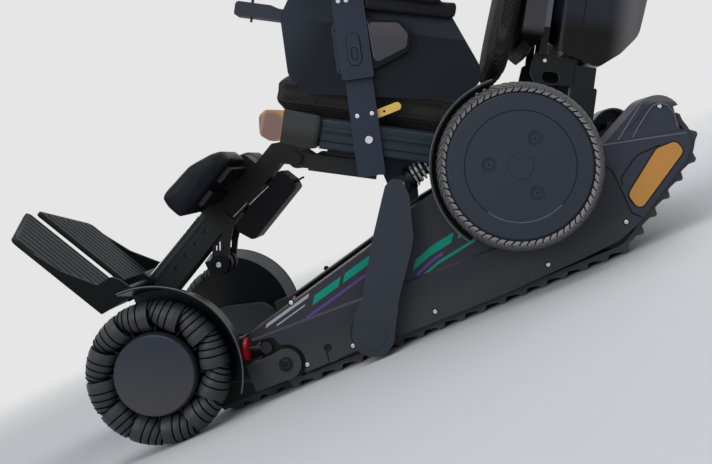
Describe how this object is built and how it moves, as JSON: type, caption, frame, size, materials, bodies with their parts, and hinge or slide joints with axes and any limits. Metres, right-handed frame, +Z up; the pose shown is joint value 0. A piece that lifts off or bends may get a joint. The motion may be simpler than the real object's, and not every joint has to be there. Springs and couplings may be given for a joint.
{
  "type": "stair climbing wheelchair",
  "caption": "Powered wheelchair on lugged tracks with omni front wheels and retracting rear wheels; a lifted, tilting seat with reclining back, raising legrest and sliding armrests.",
  "frame": {"origin": "middle of the bounding box at floor level, under the tracks", "axes": "+X to the back of the chair, +Y to its right, +Z up"},
  "size_m": [1.476, 0.625, 0.8954],
  "materials": {
    "cover_plastic": "dark grey moulded plastic with a soft gloss",
    "amber": "amber translucent plastic",
    "frame_steel": "black powder coat on alloy",
    "belt_rubber": "moulded black rubber",
    "case_plastic": "fine grained black plastic",
    "motor": "black anodised castings",
    "damper_red": "red elastomer",
    "steel": "turned steel",
    "dark_alloy": "blue-black painted alloy",
    "guard_plastic": "glossy grey-blue plastic",
    "hub_alloy": "satin grey alloy",
    "tyre": "black tread rubber",
    "disc_plastic": "smooth dark grey plastic",
    "cushion": "black mesh fabric",
    "shell": "grey moulded plastic",
    "chrome": "bright chrome",
    "lever_gold": "gold finish",
    "pad": "soft black moulded foam"
  },
  "bodies": {
    "chassis": {"side_covers": "cover_plastic", "chassis_frame": "frame_steel", "track_belts": "belt_rubber", "sprocket_covers": "cover_plastic", "amber_panels": "amber", "battery_case": "case_plastic", "drive_motors": "motor", "front_dampers": "damper_red"},
    "lift": {"lift_arms": "dark_alloy", "lift_shafts": "steel"},
    "swing": {"wheel_arms": "frame_steel", "rear_fenders": "case_plastic"},
    "seat": {"seat_frame": "dark_alloy", "seat_cushion": "cushion", "lamp_housings": "cover_plastic", "amber_lamps": "amber", "shock_struts": "motor", "shock_springs": "chrome", "leg_carriers": "frame_steel", "arm_posts": "dark_alloy"},
    "legrest": {"legrest_frame": "dark_alloy", "calf_pads": "pad", "leg_motor_box": "case_plastic"},
    "leg_roller": {"leg_roller": "case_plastic"},
    "foot_slide": {"foot_beam": "dark_alloy"},
    "backrest": {"back_posts": "frame_steel", "back_cushion": "cushion", "back_shell": "shell", "rear_pod": "case_plastic"},
    "right_arm": {"right_arm_sleeve": "dark_alloy", "right_side_panel": "shell", "right_arm_pad": "pad", "joystick_console": "shell"},
    "left_arm": {"left_arm_sleeve": "dark_alloy", "left_side_panel": "shell", "left_arm_pad": "pad"},
    "joystick_gimbal": {"joystick_gimbal": "shell"},
    "joystick_stick": {"joystick_stick": "shell"},
    "left_sprocket": {"left_sprocket": "dark_alloy"},
    "left_idler": {"left_idler": "dark_alloy"},
    "left_front_arm": {"left_front_arm": "dark_alloy", "left_mudguard": "guard_plastic"},
    "left_front_wheel": {"left_omni_hub": "hub_alloy", "left_rollers": "belt_rubber"},
    "left_rear_wheel": {"left_tyre": "tyre", "left_wheel_disc": "disc_plastic"},
    "left_foot": {"left_footplate": "guard_plastic"},
    "left_button": {"left_arm_button": "shell"},
    "left_lever": {"left_release_lever": "lever_gold"},
    "right_sprocket": {"right_sprocket": "dark_alloy"},
    "right_idler": {"right_idler": "dark_alloy"},
    "right_front_arm": {"right_front_arm": "dark_alloy", "right_mudguard": "guard_plastic"},
    "right_front_wheel": {"right_omni_hub": "hub_alloy", "right_rollers": "belt_rubber"},
    "right_rear_wheel": {"right_tyre": "tyre", "right_wheel_disc": "disc_plastic"},
    "right_foot": {"right_footplate": "guard_plastic"},
    "right_button": {"right_arm_button": "shell"},
    "right_lever": {"right_release_lever": "lever_gold"}
  },
  "joints": [
    {"name": "lift_raise", "type": "hinge", "parent": "chassis", "child": "lift", "pos_m": [-0.09412, 0, 0.046], "axis": [0, 1, 0], "range_deg": [-25, 0]},
    {"name": "seat_tilt", "type": "hinge", "parent": "lift", "child": "seat", "pos_m": [0.05389, 0, 0.288], "axis": [0, 1, 0], "range_deg": [-15, 7]},
    {"name": "legrest_raise", "type": "hinge", "parent": "seat", "child": "legrest", "pos_m": [-0.11425, 0, 0.41279], "axis": [0, 1, 0], "range_deg": [0, 50]},
    {"name": "foot_length", "type": "slide", "parent": "legrest", "child": "foot_slide", "axis": [-0.8746, 0, -0.4848], "range_m": [0, 0.08]},
    {"name": "leg_roller_spin", "type": "hinge", "parent": "legrest", "child": "leg_roller", "pos_m": [-0.38281, 0, 0.27486], "axis": [0, 1, 0], "continuous": true},
    {"name": "back_recline", "type": "hinge", "parent": "seat", "child": "backrest", "pos_m": [0.41193, 0, 0.22215], "axis": [0, 1, 0], "range_deg": [0, 20]},
    {"name": "wheels_lower", "type": "hinge", "parent": "chassis", "child": "swing", "pos_m": [0.14688, 0, 0.215], "axis": [0, 1, 0], "range_deg": [0, 40]},
    {"name": "joystick_roll", "type": "hinge", "parent": "right_arm", "child": "joystick_gimbal", "pos_m": [-0.14756, 0.258, 0.84309], "axis": [0.866, 0, -0.5], "range_deg": [-18, 18], "stiffness_Nm_per_rad": 0.3},
    {"name": "joystick_pitch", "type": "hinge", "parent": "joystick_gimbal", "child": "joystick_stick", "pos_m": [-0.14756, 0.258, 0.84309], "axis": [0, 1, 0], "range_deg": [-18, 18], "stiffness_Nm_per_rad": 0.3},
    {"name": "left_sprocket_spin", "type": "hinge", "parent": "chassis", "child": "left_sprocket", "pos_m": [0.55788, -0.195, 0.166], "axis": [0, 1, 0], "continuous": true},
    {"name": "left_idler_spin", "type": "hinge", "parent": "chassis", "child": "left_idler", "pos_m": [-0.25311, -0.195, 0.0594], "axis": [0, 1, 0], "continuous": true},
    {"name": "left_front_suspension", "type": "hinge", "parent": "chassis", "child": "left_front_arm", "pos_m": [-0.27311, -0.245, 0.055], "axis": [0, 1, 0], "range_deg": [-8, 0]},
    {"name": "left_front_wheel_spin", "type": "hinge", "parent": "left_front_arm", "child": "left_front_wheel", "pos_m": [-0.49312, -0.275, 0.1355], "axis": [0, 1, 0], "continuous": true},
    {"name": "left_rear_wheel_spin", "type": "hinge", "parent": "swing", "child": "left_rear_wheel", "pos_m": [0.27788, -0.287, 0.237], "axis": [0, 1, 0], "continuous": true},
    {"name": "left_foot_fold", "type": "hinge", "parent": "foot_slide", "child": "left_foot", "pos_m": [-0.54674, -0.108, 0.29833], "axis": [0, 1, 0], "range_deg": [0, 70]},
    {"name": "left_arm_height", "type": "slide", "parent": "seat", "child": "left_arm", "axis": [0.2504, 0, 0.9681], "range_m": [0, 0.1]},
    {"name": "left_button_press", "type": "slide", "parent": "left_arm", "child": "left_button", "axis": [0, 1, 0], "range_m": [0, 0.0025], "stiffness_N_per_m": 600, "springref_m": -0.001},
    {"name": "left_lever_pull", "type": "hinge", "parent": "seat", "child": "left_lever", "pos_m": [0.04977, -0.232, 0.43132], "axis": [0, 1, 0], "range_deg": [0, 22], "stiffness_Nm_per_rad": 0.6, "springref_deg": -11.46},
    {"name": "right_sprocket_spin", "type": "hinge", "parent": "chassis", "child": "right_sprocket", "pos_m": [0.55788, 0.195, 0.166], "axis": [0, 1, 0], "continuous": true},
    {"name": "right_idler_spin", "type": "hinge", "parent": "chassis", "child": "right_idler", "pos_m": [-0.25311, 0.195, 0.0594], "axis": [0, 1, 0], "continuous": true},
    {"name": "right_front_suspension", "type": "hinge", "parent": "chassis", "child": "right_front_arm", "pos_m": [-0.27311, 0.245, 0.055], "axis": [0, 1, 0], "range_deg": [-8, 0]},
    {"name": "right_front_wheel_spin", "type": "hinge", "parent": "right_front_arm", "child": "right_front_wheel", "pos_m": [-0.49312, 0.275, 0.1355], "axis": [0, 1, 0], "continuous": true},
    {"name": "right_rear_wheel_spin", "type": "hinge", "parent": "swing", "child": "right_rear_wheel", "pos_m": [0.27788, 0.287, 0.237], "axis": [0, 1, 0], "continuous": true},
    {"name": "right_foot_fold", "type": "hinge", "parent": "foot_slide", "child": "right_foot", "pos_m": [-0.54674, 0.108, 0.29833], "axis": [0, 1, 0], "range_deg": [0, 70]},
    {"name": "right_arm_height", "type": "slide", "parent": "seat", "child": "right_arm", "axis": [0.2504, 0, 0.9681], "range_m": [0, 0.1]},
    {"name": "right_button_press", "type": "slide", "parent": "right_arm", "child": "right_button", "axis": [0, -1, 0], "range_m": [0, 0.0025], "stiffness_N_per_m": 600, "springref_m": -0.001},
    {"name": "right_lever_pull", "type": "hinge", "parent": "seat", "child": "right_lever", "pos_m": [0.04977, 0.232, 0.43132], "axis": [0, 1, 0], "range_deg": [0, 22], "stiffness_Nm_per_rad": 0.6, "springref_deg": -11.46}
  ],
  "couplings": [
    {"joint": "left_idler_spin", "follows": "left_sprocket_spin", "ratio": 1.1707},
    {"joint": "right_idler_spin", "follows": "right_sprocket_spin", "ratio": 1.1707}
  ]
}
